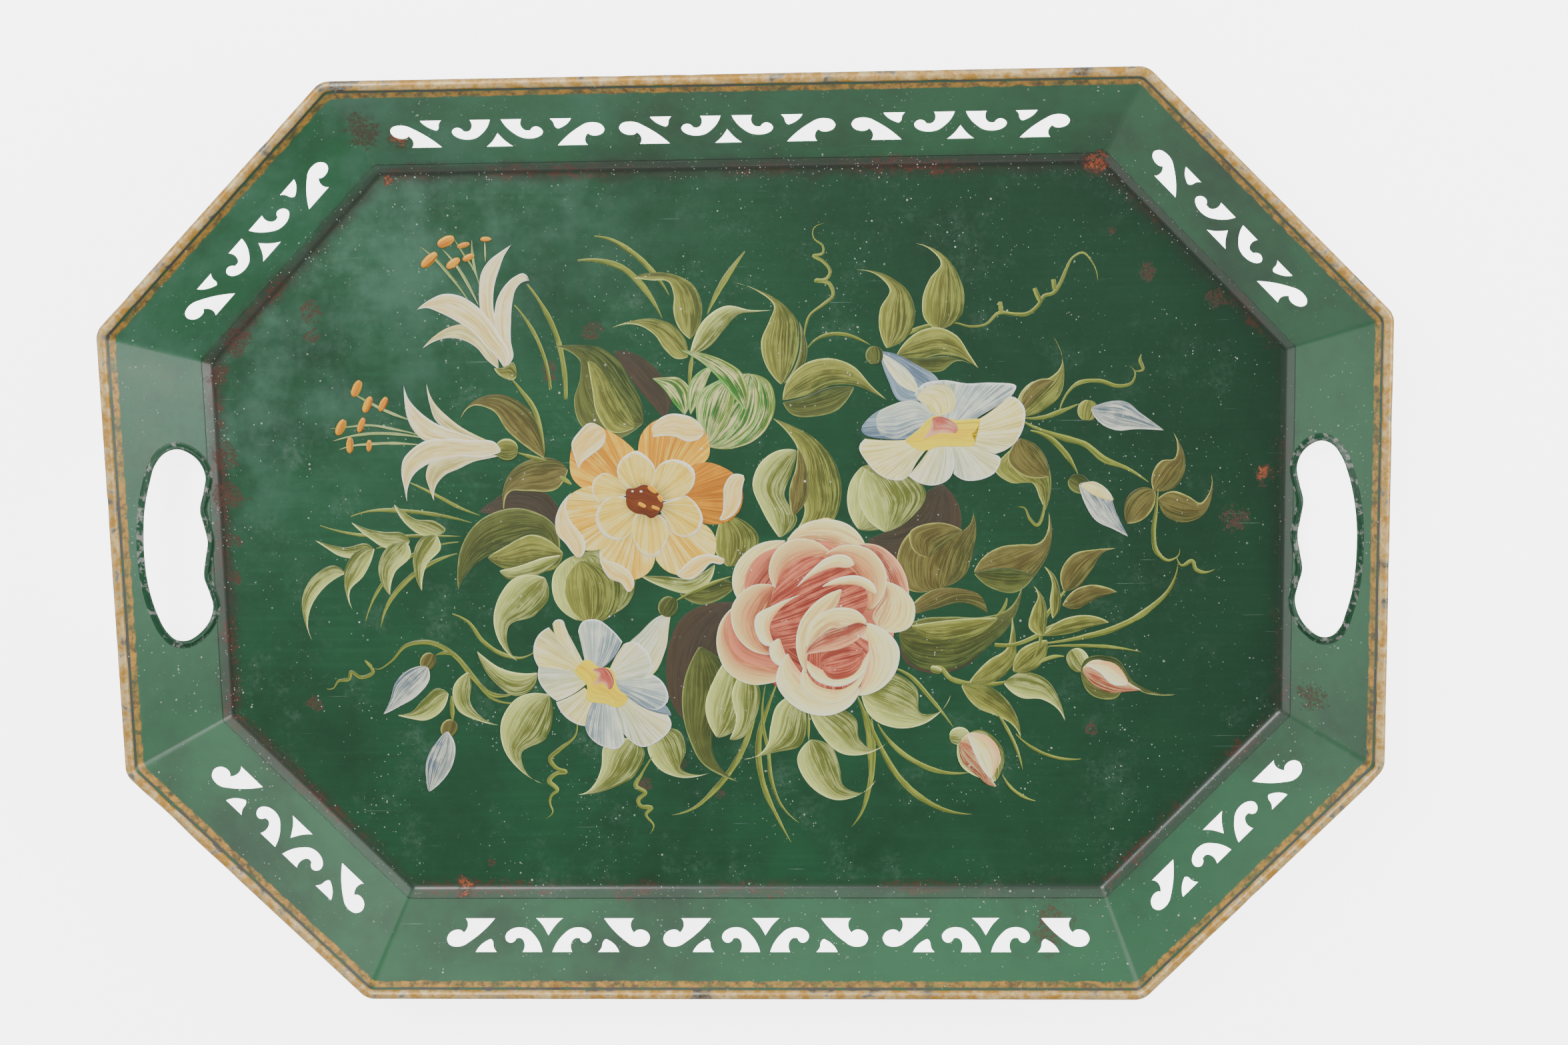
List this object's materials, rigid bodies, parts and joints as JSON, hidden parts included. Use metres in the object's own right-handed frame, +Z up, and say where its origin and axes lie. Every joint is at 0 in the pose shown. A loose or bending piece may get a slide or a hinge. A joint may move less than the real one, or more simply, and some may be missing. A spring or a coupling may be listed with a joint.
{
  "type": "serving tray",
  "caption": "Long octagonal sheet-metal serving tray with flared pierced walls, a rolled wired rim and a hand hole in each end wall, painted with a flower spray on a green ground.",
  "frame": {"origin": "centre of the bounding box at the level of the flat underside", "axes": "+X along the tray's length towards the right-hand hand hole, +Y across it towards the far long wall, +Z up out of the tray"},
  "size_m": [0.646, 0.476, 0.0417],
  "materials": {
    "enamel": "aged green stoving enamel with gilt rim",
    "iron": "drawn iron wire"
  },
  "bodies": {
    "root": {"tray_pan": "enamel", "rim_wire": "iron"}
  },
  "joints": []
}
